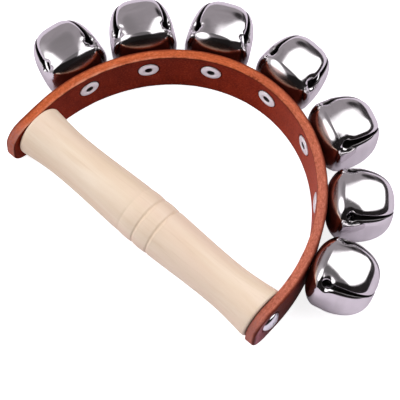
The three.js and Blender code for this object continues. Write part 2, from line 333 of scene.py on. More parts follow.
def handle_sheets():
    """The handle, turned about X.

    Radius: a cosine belly between two waists and a quarter-cosine flare at each end, less a cosine groove at
    each scored ring, plus a low cosine swell on the beads between the rings. The ends are rounded by a
    quarter circle, a smaller one at the right, and bored for the screws.
    """
    rings = RING_SHIFT + (np.arange(len(RING_DEPTHS)) - 1) * RING_SPACING
    even = np.linspace(END_ROUND - handle_half, handle_half - RIGHT_END_ROUND, HANDLE_ALONG)
    fine = rings[:, None] + np.linspace(-HANDLE_RING_REACH, HANDLE_RING_REACH, HANDLE_RING) * RING_HALF_WIDTH
    along = np.unique(np.concatenate([even, fine.ravel()]))
    waist_at = handle_half - WAIST_FROM_END
    out = np.abs(along)
    belly = WAIST_R + (BELLY_R - WAIST_R) * (1 + np.cos(np.pi * out / waist_at)) / 2
    share = np.clip((out - waist_at) / (WAIST_FROM_END - END_ROUND), 0, 1)
    flare = WAIST_R + (FLARE_R - WAIST_R) * (1 - np.cos(np.pi / 2 * share))
    radius = np.where(out < waist_at, belly, flare)
    groove = np.zeros_like(along)
    for place, depth in zip(rings, RING_DEPTHS):
        near = np.clip(np.abs(along - place) / RING_HALF_WIDTH, 0, 1)
        cut = (1 + np.cos(np.pi * near)) / 2
        radius = radius - depth * cut
        groove = np.maximum(groove, cut * depth / max(RING_DEPTHS))
    on_beads = (along > rings[0]) & (along < rings[-1])
    radius = radius + on_beads * BEAD_SWELL * np.sin(np.pi * (along - rings[0]) / RING_SPACING) ** 2
    angle = np.linspace(0, np.pi / 2, HANDLE_END)[1:]
    bore_end = handle_half - SCREW_GRIP - SEAT_GAP

    def end_profile(rounding):
        rim_radius = FLARE_R - rounding * (1 - np.cos(angle))
        rim_along = handle_half - rounding * (1 - np.sin(angle))
        return np.stack([
            np.concatenate([rim_radius, [pilot_r, pilot_r, 0]]),
            np.concatenate([rim_along, [handle_half, bore_end, bore_end]]),
        ], axis=-1)

    right = end_profile(RIGHT_END_ROUND)
    left = end_profile(END_ROUND)[::-1] * [1, -1]
    profile = np.concatenate([left, np.stack([radius, along], axis=-1), right])
    groove = np.concatenate([np.zeros(len(left)), groove, np.zeros(len(right))])
    points = turned(profile, HANDLE_SIDES)[..., [1, 0, 2]]
    return [sheet(np.array(middle) + points, around=True, flip=True, groove=groove[:, None])]


def rivet_sheets(place, axis):
    """A tubular rivet, turned about the bell's axis: domed flange, rolled mouth, barrel and rolled collar."""
    flange_back = FLANGE_SINK - SEAT_GAP
    flange_front = flange_back - RIVET_FLANGE_THICKNESS
    clinch_back = bell_seat + BELL_WALL + SEAT_GAP
    clinch_front = clinch_back + RIVET_CLINCH_THICKNESS
    corners = (
        (RIVET_BORE_R, flange_front + RIVET_MOUTH_DEPTH),
        (RIVET_MOUTH_R, flange_front),
        (RIVET_FLANGE_R, flange_back - RIVET_RIM_THICKNESS),
        (RIVET_FLANGE_R, flange_back),
        (RIVET_BARREL_R, flange_back),
        (RIVET_BARREL_R, clinch_back),
        (RIVET_CLINCH_R, clinch_back),
        (RIVET_BORE_R, clinch_front),
    )
    profile = rounded_profile([(*corner, rounding) for corner, rounding in zip(corners, RIVET_ROUNDS)])
    profile = np.concatenate([profile, profile[:1]])
    past_bore = profile[:, 0:1] - RIVET_BORE_R
    inside = smooth_step(BORE_SHADE_START, BORE_SHADE_FULL, past_bore)
    return [sheet(station(turned(profile, RIVET_SIDES), place, axis), around=True, inside=inside)]


def screw_sheets(place, axis):
    """A wood screw, turned about the handle's axis.

    The head is a quarter ellipse turned outwards, with a cross pressed into it along smooth steps.
    """
    seat = SEAT_GAP - HEAD_SINK
    rim = seat + SCREW_HEAD_RIM
    top = seat + SCREW_HEAD_HEIGHT
    tip = -STRAP_THICKNESS - SCREW_GRIP
    angle = np.linspace(0, np.pi / 2, SCREW_DOME)
    dome = np.stack([SCREW_HEAD_R * np.cos(angle), rim + (top - rim) * np.sin(angle)], axis=-1)
    shank = rounded_profile([
        (0, tip, 0),
        (SCREW_SHANK_R, tip + SCREW_POINT, SCREW_POINT_ROUND),
        (SCREW_SHANK_R, seat, 0),
        (SCREW_HEAD_R - SCREW_HEAD_CHAMFER, seat, 0),
    ])
    points = turned(np.concatenate([shank, dome]), SCREW_SIDES)
    x, y, z = np.abs(points[..., 0]), points[..., 1], np.abs(points[..., 2])

    def within(half, value):
        return smooth_step(half + RECESS_SOFT, half - RECESS_SOFT, value)

    def bar(length, width):
        return within(RECESS_SPAN / 2, length) * within(RECESS_WIDTH / 2, width)

    on_head = y > rim
    recess = np.maximum(bar(x, z), bar(z, x)) * on_head
    points[..., 1] = y - RECESS_DEPTH * recess
    return [sheet(station(points, place, axis), around=True, inside=recess)]


def pellet_sheets(place):
    """A ball: a half circle carried round the axis."""
    angle = np.linspace(-np.pi / 2, np.pi / 2, PELLET_ARC)
    profile = PELLET_R * np.stack([np.cos(angle), np.sin(angle)], axis=-1)
    return [sheet(turned(profile, PELLET_SIDES) + place, around=True)]


# Bells


def bell_profile(t):
    """Radius and height of a bell's outer face.

    t runs from -1 at the floor's rim, through 0 at the ridge where the petals spring from the base, to 1 at
    the pole, over two quarter superellipses of different powers.
    """
    angle = np.pi / 2 * np.abs(t)
    power = np.where(t < 0, BASE_POWER, PETAL_POWER)
    out = np.abs(np.cos(angle)) ** (2 / power)
    rise = np.sin(angle) ** (2 / power)
    radius = np.where(t < 0, BELL_FLOOR_R + (BELL_HALF_WIDTH - BELL_FLOOR_R) * out, BELL_HALF_WIDTH * out)
    above = BELL_HEIGHT - BELL_RIDGE_AT
    height = np.where(t < 0, BELL_RIDGE_AT * (1 - rise), BELL_RIDGE_AT + above * rise)
    return radius, height


def profile_at(height):
    """The profile's t at a height above the ridge: bell_profile turned round."""
    rise = (height - BELL_RIDGE_AT) / (BELL_HEIGHT - BELL_RIDGE_AT)
    return np.arcsin(rise ** (PETAL_POWER / 2)) * 2 / np.pi


def bell_face(turn, t):
    """A point of the outer face.

    The profile's radius is stretched to a superellipse that squares off with height.
    """
    radius, height = bell_profile(t)
    power = 2 + (SQUARENESS - 2) * np.minimum(1, height / BELL_SQUARE_AT)
    spread = np.abs(np.cos(turn)) ** power + np.abs(np.sin(turn)) ** power
    radius = radius * spread ** (-1 / power)
    return np.stack([radius * np.sin(turn), height + 0 * turn, radius * np.cos(turn)], axis=-1)


def bell_normal(turn, t):
    """The outer face's normal, from small steps round it and up it."""
    step = 1e-4
    low, high = np.maximum(t - step, -1), np.minimum(t + step, 1)
    normal = np.cross(
        bell_face(turn + step, t) - bell_face(turn - step, t),
        bell_face(turn, high) - bell_face(turn, low),
    )
    return normal / np.linalg.norm(normal, axis=-1, keepdims=True)


def slot_half_width(height):
    """Half the gap between two petals at a height: a round keyhole, then a slot that narrows to the pole."""
    in_keyhole = np.sqrt(np.maximum(KEYHOLE_R ** 2 - (height - KEYHOLE_HEIGHT) ** 2, 0))
    start = KEYHOLE_HEIGHT + np.sqrt(KEYHOLE_R ** 2 - SLOT_WIDTH ** 2 / 4)
    share = np.clip((height - start) / (BELL_HEIGHT - start), 0, 1)
    in_slot = (SLOT_WIDTH + (SLOT_TIP_WIDTH - SLOT_WIDTH) * share) / 2
    return np.where(height < start, in_keyhole, in_slot)


def slot_place(points):
    """Distance from the middle of the nearest slot, height, and distance from the keyhole's rim."""
    x, height, z = (np.abs(points[..., i]) for i in range(3))
    beside = np.abs(x - z) / np.sqrt(2)
    return beside, height, np.hypot(beside, height - KEYHOLE_HEIGHT) - KEYHOLE_R


def edge_curl(points):
    """How far the metal turns in beside a slot: the square of the nearness to its edge."""
    beside, height, off_keyhole = slot_place(points)
    off_slot = np.minimum(off_keyhole, beside - slot_half_width(height))
    away = np.where(height < KEYHOLE_HEIGHT, off_keyhole, off_slot)
    return CURL_DEPTH * np.clip(1 - away / CURL_REACH, 0, 1) ** 2


def crumple(points, seed):
    """How far the metal is dented about the keyholes: a few seeded waves that fade away from the rims."""
    _, _, away = slot_place(points)
    near = np.clip(1 - away / CRUMPLE_REACH, 0, 1) ** 2
    random = np.random.default_rng(seed)
    ways = random.normal(size=(CRUMPLE_WAVES, 3))
    ways /= np.linalg.norm(ways, axis=-1, keepdims=True)
    phases = random.uniform(0, 2 * np.pi, CRUMPLE_WAVES)
    waves = np.sin(points @ ways.T * (2 * np.pi / CRUMPLE_LENGTH) + phases).mean(axis=-1)
    return CRUMPLE_DEPTH * near * (1 + waves) / 2


def bell_rows():
    """The profile's t at each row of a bell, and the number of the row where the keyholes start."""
    foot = profile_at(np.array(KEYHOLE_HEIGHT - KEYHOLE_R))
    turn = np.linspace(0, np.pi - np.arcsin(SLOT_WIDTH / 2 / KEYHOLE_R), KEYHOLE_ROWS)
    keyhole = profile_at(KEYHOLE_HEIGHT - KEYHOLE_R * np.cos(turn))
    _, height = bell_profile(TIP_TRIALS)
    corner = bell_face(np.full_like(TIP_TRIALS, np.pi / 4), TIP_TRIALS)[:, [0, 2]]
    room = np.linalg.norm(corner, axis=-1) * np.sin(np.pi / 4) - slot_half_width(height)
    tip = np.interp(0, -room, TIP_TRIALS)
    base = -np.linspace(1, 0, BASE_ROWS) ** BASE_CROWDING
    base = np.concatenate([base, np.linspace(0, foot, RIDGE_ROWS)[1:-1]])
    rows = np.concatenate([base, keyhole, np.linspace(keyhole[-1], tip, SLOT_ROWS)[1:]])
    return rows, len(base)


def bell_sheets(place, axis, turn, seed):
    """A pressed bell with a wall: four petals on a cup.

    Columns run across each petal from slot edge to slot edge, close together at the edges; rows run from the
    rivet hole to the petals' tips. The metal curls in beside the slots and is dented about the keyholes. The
    inner face is the outer one moved in by the wall along its normal, and a half round closes the wall along
    the slots.
    """
    rows, keyhole_row = bell_rows()
    t = rows[:, None, None]
    _, height = bell_profile(rows)
    gap = slot_half_width(height)
    gap[:keyhole_row + 1] = 0
    lean = np.zeros_like(rows)
    for _ in range(LEAN_PASSES):
        edge = bell_face(np.pi / 4 - lean, rows)
        lean = np.arcsin(np.clip(gap / np.linalg.norm(edge[:, [0, 2]], axis=-1), 0, np.sin(np.pi / 4)))
    lean[-1] = np.pi / 4
    across = (1 - np.cos(np.linspace(0, np.pi, PETAL_COLUMNS))) / 2
    petal = np.pi / 4 + np.arange(PETALS) * np.pi / 2
    angle = petal[None, :, None] + lean[:, None, None] + across * (np.pi / 2 - 2 * lean[:, None, None])
    outer = bell_face(angle, t + 0 * angle)
    normal = bell_normal(angle, t + 0 * angle)
    outer = outer - (edge_curl(outer) + crumple(outer, seed))[..., None] * normal
    inner = outer - BELL_WALL * normal

    # Half rounds along the slots, flat at the keyhole's foot and at the tip
    along = np.gradient(outer, axis=0)
    along /= np.linalg.norm(along, axis=-1, keepdims=True) + TINY
    sideways = np.cross(along, normal)
    count = len(rows) - keyhole_row
    ease = np.minimum(np.arange(count), np.arange(count)[::-1]) / RIM_EASE_ROWS
    ease = np.minimum(ease, 1)[:, None, None, None] * RIM_BULGE
    half_turn = np.linspace(0, np.pi, RIM_STEPS)[:, None]
    rims = []
    for column, side in ((-1, 1), (0, -1)):
        spot = (slice(keyhole_row, None), slice(None), slice(column, None) if column else slice(0, 1))
        centre = (outer[spot] + inner[spot]) / 2
        bow = np.cos(half_turn) * normal[spot] + np.sin(half_turn) * side * ease * sideways[spot]
        rims.append((centre + BELL_WALL / 2 * bow, side < 0))

    share = np.linspace(0, 1, FLOOR_STEPS)[:-1, None, None, None]

    def with_floor(face, rise):
        ring = np.stack([np.sin(angle[0]), 0 * angle[0], np.cos(angle[0])], axis=-1) * rivet_hole_r
        ring[..., 1] = rise
        return np.concatenate([ring + (face[0] - ring) * share, face])

    outer, inner = with_floor(outer, 0), with_floor(inner, BELL_WALL)
    hole = np.stack([inner[0], outer[0]])
    faces = [(outer, False, 0.0), (inner, True, 1.0), (hole, False, 1.0)]
    faces += [(rim, flip, smooth_step(0, np.pi / 4, half_turn[:, 0])) for rim, flip in rims]
    sheets = []
    for number in range(PETALS):
        for points, flip, inside in faces:
            own = points[:, number]
            sheets.append(sheet(station(own, place, axis, turn), flip=flip, inside=inside,
                                bell_x=own[..., 0], bell_y=own[..., 1], bell_z=own[..., 2]))
    return sheets


# Strap


def arch_table():
    """The strap's inner face in plan, left tail to right tail: a half ellipse on two straight legs.

    Gives the distance from the top, x, y and the outward direction at each step.
    """
    angle = np.linspace(np.pi, 0, ARCH_STEPS)
    x = middle.x + half_span * np.cos(angle)
    y = arch_foot + arch_rise * np.sin(angle)
    out = np.stack([np.cos(angle) / half_span, np.sin(angle) / arch_rise], axis=-1)
    out /= np.linalg.norm(out, axis=-1, keepdims=True)
    ends = np.array([middle.y - TAIL_LEFT, middle.y - TAIL_RIGHT])
    x = np.concatenate([x[:1], x, x[-1:]])
    y = np.concatenate([ends[:1], y, ends[1:]])
    out = np.concatenate([out[:1], out, out[-1:]])
    along = np.concatenate([[0], np.cumsum(np.hypot(np.diff(x), np.diff(y)))])
    return along - along[len(along) // 2], x, y, out


def wobble(along, seed):
    """A small uneven line: sines of several lengths with seeded phases."""
    phases = np.random.default_rng(seed).uniform(0, 2 * np.pi, len(WOBBLE_LENGTHS))
    waves = np.sin(2 * np.pi * along[:, None] / WOBBLE_LENGTHS + phases)
    return EDGE_WOBBLE * (waves * WOBBLE_WEIGHTS).sum(axis=1) / WOBBLE_WEIGHTS.sum()


def strap_columns(holes, ends):
    """Distances along the strap for the grid's columns: even, but close round each hole and tail corner."""
    even = np.linspace(ends[0], ends[1], STRAP_COLUMNS)
    centres = np.array([centre for centre, _ in holes])
    radii = np.array([radius for _, radius in holes])
    clear = np.abs(even[:, None] - centres) > radii + EVEN_FROM
    columns = [even[clear.all(axis=1)], ends]
    for centre, radius in holes:
        across = radius * np.cos(np.linspace(0, np.pi, HOLE_COLUMNS))
        beside = radius + np.linspace(BESIDE_START, BESIDE_STOP, BESIDE_COLUMNS)
        columns += [centre - across, centre - beside, centre + beside]
    corner = TAIL_CORNER_R * (1 - np.cos(np.linspace(0, np.pi / 2, CORNER_COLUMNS)))
    columns += [ends[0] + corner, ends[1] - corner]
    columns = np.concatenate(columns)
    return np.unique(np.round(columns[(columns >= ends[0]) & (columns <= ends[1])], COLUMN_DIGITS))


def strap_sheets():
    """The strap: a rounded section carried along the arch, pierced where rivets and screws pass.

    Each broad face is two grids that meet on the line of holes, where the meeting edge bows out into a half
    circle at each hole. At the tails the outline turns along quarter circles, and the rounding of the edge
    stays square to it. The leather sinks along a cubic ease under each flange and screw head.
    """
    table, table_x, table_y, table_out = arch_table()
    ends = np.array([table[0], table[-1]])
    width = strap_high.z - strap_low.z
    hole_line = middle.z - strap_low.z

    def distance_at(point):
        return table[np.argmin(np.hypot(table_x - point[0], table_y - point[1]))]

    rivets = [distance_at(place - axis * bell_seat) for place, axis in zip(bell_places, bell_axes)]
    screws = [ends[0] + TAIL_LEFT, ends[1] - TAIL_RIGHT]
    holes = [(s, rivet_hole_r) for s in rivets] + [(s, pilot_r) for s in screws]
    s = strap_columns(holes, ends)
    from_end = np.minimum(s - ends[0], ends[1] - s)
    lean = np.arcsin(np.clip(1 - from_end / TAIL_CORNER_R, 0, 1))
    inward, upright = -np.sign(s) * np.sin(lean), np.cos(lean)
    inset = TAIL_CORNER_R * (1 - upright)
    low = inset + np.abs(wobble(s, LOW_EDGE_SEED))
    high = width - inset - np.abs(wobble(s, HIGH_EDGE_SEED))
    meeting = width / 2 + (hole_line - width / 2) * smooth_step(0, MEETING_EASE, from_end)
    bow = np.zeros_like(s)
    for centre, radius in holes:
        bow = np.maximum(bow, np.sqrt(np.maximum(radius ** 2 - (s - centre) ** 2, 0)))
    bow[bow < HOLE_END] = 0

    def placed(along, depth, rise, **how):
        along, depth, rise = np.broadcast_arrays(along, depth, rise)
        x, y, out_x, out_y = (np.interp(along, table, line) for line in (table_x, table_y, *table_out.T))
        points = np.stack([x + depth * out_x, y + depth * out_y, strap_low.z + rise], axis=-1)
        tip = 1 - smooth_step(0, TIP_REACH, np.minimum(along - ends[0], ends[1] - along))
        return sheet(points, along=along, depth=depth, rise=rise, tip=tip, **how)

    def dimple(along, rise, centres, reach):
        sunk = np.zeros_like(rise)
        for centre in centres:
            away = np.hypot(along - centre, rise - hole_line)
            sunk = np.maximum(sunk, 1 - smooth_step(reach, reach + DIMPLE_SLOPE, away))
        return sunk

    def half_face(upper, outer):
        edge_r = OUTER_EDGE_R if outer else INNER_EDGE_R
        share = np.linspace(0, 1, UPPER_ROWS if upper else LOWER_ROWS)
        start = meeting + bow if upper else low + edge_r * upright
        stop = high - edge_r * upright if upper else meeting - bow
        rise = start[:, None] + (stop - start)[:, None] * share
        along = (s + edge_r * inward)[:, None] + 0 * share
        if outer:
            depth = STRAP_THICKNESS - HEAD_SINK * dimple(along, rise, screws, SCREW_HEAD_R)
        else:
            depth = FLANGE_DIMPLE * dimple(along, rise, rivets, RIVET_FLANGE_R)
        return along, depth, rise

    sheets = []
    for upper in (False, True):
        for outer in (False, True):
            along, depth, rise = half_face(upper, outer)
            brink = np.minimum(np.minimum(rise - low[:, None], high[:, None] - rise), from_end[:, None])
            sheets.append(placed(along, depth, rise, flip=not outer, outer=float(outer), brink=brink))

    # Cut edges: a small round, a flat and a larger round, carried along both edges and across the tails' ends
    quarter = np.linspace(0, np.pi / 2, EDGE_ROUND_STEPS)
    flat = np.linspace(INNER_EDGE_R, STRAP_THICKNESS - OUTER_EDGE_R, EDGE_FLAT_STEPS)[1:-1]
    edge_depth = np.concatenate([
        INNER_EDGE_R * (1 - np.cos(quarter)), flat,
        STRAP_THICKNESS - OUTER_EDGE_R * (1 - np.sin(quarter)),
    ])
    edge_drop = np.concatenate([
        INNER_EDGE_R * (1 - np.sin(quarter)), 0 * flat, OUTER_EDGE_R * (1 - np.cos(quarter)),
    ])
    brink = np.minimum(edge_depth + BURNISH_SHIFT, STRAP_THICKNESS - edge_depth)
    along = s[:, None] + edge_drop * inward[:, None]
    fall = edge_drop * upright[:, None]
    sheets.append(placed(along, edge_depth, high[:, None] - fall, flip=True, edge=1.0, brink=brink))
    sheets.append(placed(along, edge_depth, low[:, None] + fall, edge=1.0, brink=brink))
    for index in (0, -1):
        line = np.concatenate([half_face(False, False)[2][index], half_face(True, False)[2][index][1:]])
        sheets.append(placed(along[index][:, None], edge_depth[:, None], line, flip=index < 0,
                             edge=1.0, brink=brink[:, None]))

    # Walls of the holes, from the inner face to the outer one
    share = np.linspace(0, 1, HOLE_WALL_STEPS)
    for upper in (False, True):
        column = 0 if upper else -1
        inner, outer = (
            [values[:, column, None] for values in half_face(upper, side)] for side in (False, True)
        )
        walls = [start + (stop - start) * share for start, stop in zip(inner, outer)]
        for centre, radius in holes:
            near = np.abs(s - centre) < radius + 2 * WELD
            sheets.append(placed(*(values[near] for values in walls), flip=not upper, edge=1.0))
    return sheets


# Shader building


class Nodes:
    """A node tree with short calls to add and link nodes."""

    def __init__(self, tree):
        self.tree = tree

    def add(self, kind, inputs=None, **settings):
        node = self.tree.nodes.new(kind)
        for key, value in settings.items():
            setattr(node, key, value)
        for key, value in (inputs or {}).items():
            self.feed(node.inputs[key], value)
        return node

    def feed(self, socket, value):
        """Links a socket to another one, or sets its value."""
        if isinstance(value, bpy.types.NodeSocket):
            self.tree.links.new(value, socket)
        else:
            socket.default_value = value

    def math(self, operation, first, second):
        return self.add("ShaderNodeMath", {0: first, 1: second}, operation=operation).outputs[0]

    def product(self, first, *others):
        for other in others:
            first = self.math("MULTIPLY", first, other)
        return first

    def mix(self, share, first, second):
        """A colour between two colours."""
        node = self.add("ShaderNodeMix", data_type="RGBA")
        self.feed(node.inputs[0], share)
        self.feed(node.inputs[6], first)
        self.feed(node.inputs[7], second)
        return node.outputs[2]

    def mix_value(self, share, first, second):
        """A number between two numbers."""
        return self.add("ShaderNodeMix", {0: share, 2: first, 3: second}).outputs[0]

    def ramp(self, value, low, high, start=0.0, stop=1.0):
        """A straight ramp from start at low to stop at high, level beyond them."""
        node = self.add("ShaderNodeMapRange", {0: value, 1: low, 2: high, 3: start, 4: stop})
        return node.outputs[0]

    def tint(self, colour, other, value, low, high, most=1.0):
        """A colour mixed with another, by a share that goes from 0 at low to most at high."""
        return self.mix(self.ramp(value, low, high, 0.0, most), colour, other)

    def step(self, value, centre, soft):
        """A smooth step from 0 to 1 about a value."""
        inputs = {"Value": value, "From Min": centre - soft, "From Max": centre + soft}
        return self.add("ShaderNodeMapRange", inputs, interpolation_type="SMOOTHSTEP").outputs[0]

    def noise(self, vector, scale, detail, roughness=0.55, distortion=0.0):
        inputs = {"Vector": vector, "Scale": scale, "Detail": detail}
        inputs |= {"Roughness": roughness, "Distortion": distortion}
        return self.add("ShaderNodeTexNoise", inputs).outputs["Fac"]

    def scaled(self, vector, scale):
        node = self.add("ShaderNodeVectorMath", {0: vector, 1: scale}, operation="MULTIPLY")
        return node.outputs[0]

    def bump(self, height, strength, distance, normal=None):
        inputs = {"Height": height, "Strength": strength, "Distance": distance}
        if normal is not None:
            inputs["Normal"] = normal
        return self.add("ShaderNodeBump", inputs).outputs[0]


# Where most of a noise's values lie
NOISE_SPAN = (0.3, 0.7)


def node_group(name, inputs, outputs):
    """An empty shader node group with number, vector or colour sockets, and its ends."""
    tree = bpy.data.node_groups.new(name, "ShaderNodeTree")
    for in_out, sockets in (("INPUT", inputs), ("OUTPUT", outputs)):
        for socket, kind in sockets.items():
            tree.interface.new_socket(socket, in_out=in_out, socket_type=f"NodeSocket{kind}")
    nodes = Nodes(tree)
    return nodes, nodes.add("NodeGroupInput").outputs, nodes.add("NodeGroupOutput").inputs


def make_streaks_group():
    """Long fibres: two noises drawn out along the first axis, coarse for colour and fine for relief."""
    nodes, given, result = node_group(
        "Streaks", {"Vector": "Vector", "Scale": "Float"}, {"Coarse": "Float", "Fine": "Float"})
    coarse = nodes.scaled(given["Vector"], (0.1, 1, 1))
    coarse = nodes.noise(coarse, given["Scale"], detail=5, roughness=0.6, distortion=0.4)
    fine = nodes.scaled(given["Vector"], (0.035, 1, 1))
    fine = nodes.noise(fine, nodes.product(given["Scale"], 6.0), detail=3, roughness=0.6)
    nodes.feed(result["Coarse"], coarse)
    nodes.feed(result["Fine"], fine)
    return nodes.tree


def make_handling_group():
    """Marks of handling on plated metal: broad smudges and fine hairline scratches."""
    nodes, given, result = node_group(
        "Handling", {"Vector": "Vector", "Scale": "Float"}, {"Smudge": "Float", "Scratch": "Float"})
    smudge = nodes.scaled(given["Vector"], (1, 2.2, 1))
    smudge = nodes.noise(smudge, given["Scale"], detail=3, roughness=0.5, distortion=0.6)
    scratch = nodes.scaled(given["Vector"], (0.08, 1, 0.08))
    scratch = nodes.noise(scratch, nodes.product(given["Scale"], 12.0), detail=3, roughness=0.6)
    nodes.feed(result["Smudge"], nodes.ramp(smudge, 0.35, 0.7))
    nodes.feed(result["Scratch"], scratch)
    return nodes.tree


streaks_group = make_streaks_group()
handling_group = make_handling_group()


def new_material(name):
    """A material with its nodes and its Principled shader."""
    material = bpy.data.materials.new(name)
    material.use_nodes = True
    nodes = Nodes(material.node_tree)
    return material, nodes, material.node_tree.nodes["Principled BSDF"]


def placed_group(nodes, tree, **inputs):
    node = nodes.add("ShaderNodeGroup")
    node.node_tree = tree
    for socket, value in inputs.items():
        nodes.feed(node.inputs[socket], value)
    return node.outputs


def mark_value(nodes, name):
    return nodes.add("ShaderNodeAttribute", attribute_name=name).outputs["Fac"]


def mark_place(nodes, *names):
    """A vector from three marks of the mesh."""
    values = {i: mark_value(nodes, name) for i, name in enumerate(names)}
    return nodes.add("ShaderNodeCombineXYZ", values).outputs[0]


def object_place(nodes):
    return nodes.add("ShaderNodeTexCoord").outputs["Object"]


# Wood

WOOD_DARK = (0.78, 0.60, 0.43, 1)
WOOD_PALE = (0.88, 0.74, 0.585, 1)
WOOD_PINK = (0.85, 0.655, 0.525, 1)
WOOD_TAN = (0.80, 0.60, 0.41, 1)
WOOD_PORE = (0.66, 0.47, 0.31, 1)
WOOD_GROOVE_SHADE = (0.56, 0.38, 0.24, 1)


def make_wood():
    """Pale close-grained wood under a thin satin lacquer, with painted shade in the scored rings."""
    material, nodes, shader = new_material("handle_wood")
    place = object_place(nodes)
    streaks = placed_group(nodes, streaks_group, Vector=place, Scale=170.0)
    broad = nodes.noise(nodes.scaled(place, (0.25, 1, 1)), 60.0, detail=2)
    colour = nodes.tint(WOOD_DARK, WOOD_PALE, streaks["Coarse"], *NOISE_SPAN)
    colour = nodes.tint(colour, WOOD_PINK, broad, 0.45, 0.7, most=0.8)
    colour = nodes.tint(colour, WOOD_TAN, broad, 0.42, 0.25, most=0.5)
    colour = nodes.tint(colour, WOOD_PORE, streaks["Fine"], 0.56, 0.75, most=0.3)
    # Painted shade: the scored rings are darkened as if shade fell in them
    colour = nodes.tint(colour, WOOD_GROOVE_SHADE, mark_value(nodes, "groove"), 0.2, 1.0, most=0.15)
    nodes.feed(shader.inputs["Base Color"], colour)
    nodes.feed(shader.inputs["Roughness"], nodes.ramp(streaks["Coarse"], *NOISE_SPAN, 0.46, 0.56))
    shader.inputs["Coat Weight"].default_value = 0.12
    shader.inputs["Coat Roughness"].default_value = 0.3
    nodes.feed(shader.inputs["Normal"], nodes.bump(streaks["Fine"], 0.12, 0.2 * MM))
    return material


# Leather: flesh is the inner face, skin the outer one and cut the edges

FLESH_DARK = (0.180, 0.014, 0.004, 1)
FLESH_RED = (0.270, 0.025, 0.008, 1)
FLESH_LIT_RIGHT = (0.54, 0.130, 0.090, 1)
FLESH_FLECK = (0.44, 0.07, 0.028, 1)
FLESH_PORE = (0.10, 0.008, 0.003, 1)
FLESH_FLANGE_SHADE = (0.05, 0.008, 0.006, 1)
SKIN_DARK = (0.095, 0.013, 0.007, 1)
SKIN_RED = (0.165, 0.026, 0.014, 1)
SKIN_TIP_PINK = (0.63, 0.205, 0.255, 1)
CUT_DARK = (0.48, 0.098, 0.034, 1)
CUT_TAN = (0.70, 0.165, 0.060, 1)
CUT_SHEEN_RIGHT = (0.52, 0.22, 0.195, 1)
CUT_DARK_SPECK = (0.24, 0.050, 0.022, 1)
CUT_PALE_SPECK = (0.82, 0.36, 0.22, 1)
CUT_FRINGE = (0.80, 0.40, 0.27, 1)
CUT_WORN = (0.42, 0.175, 0.155, 1)
BURNISHED = (0.11, 0.016, 0.009, 1)
NICKED = (0.10, 0.014, 0.007, 1)
CUT_ROUGHNESS = 0.75


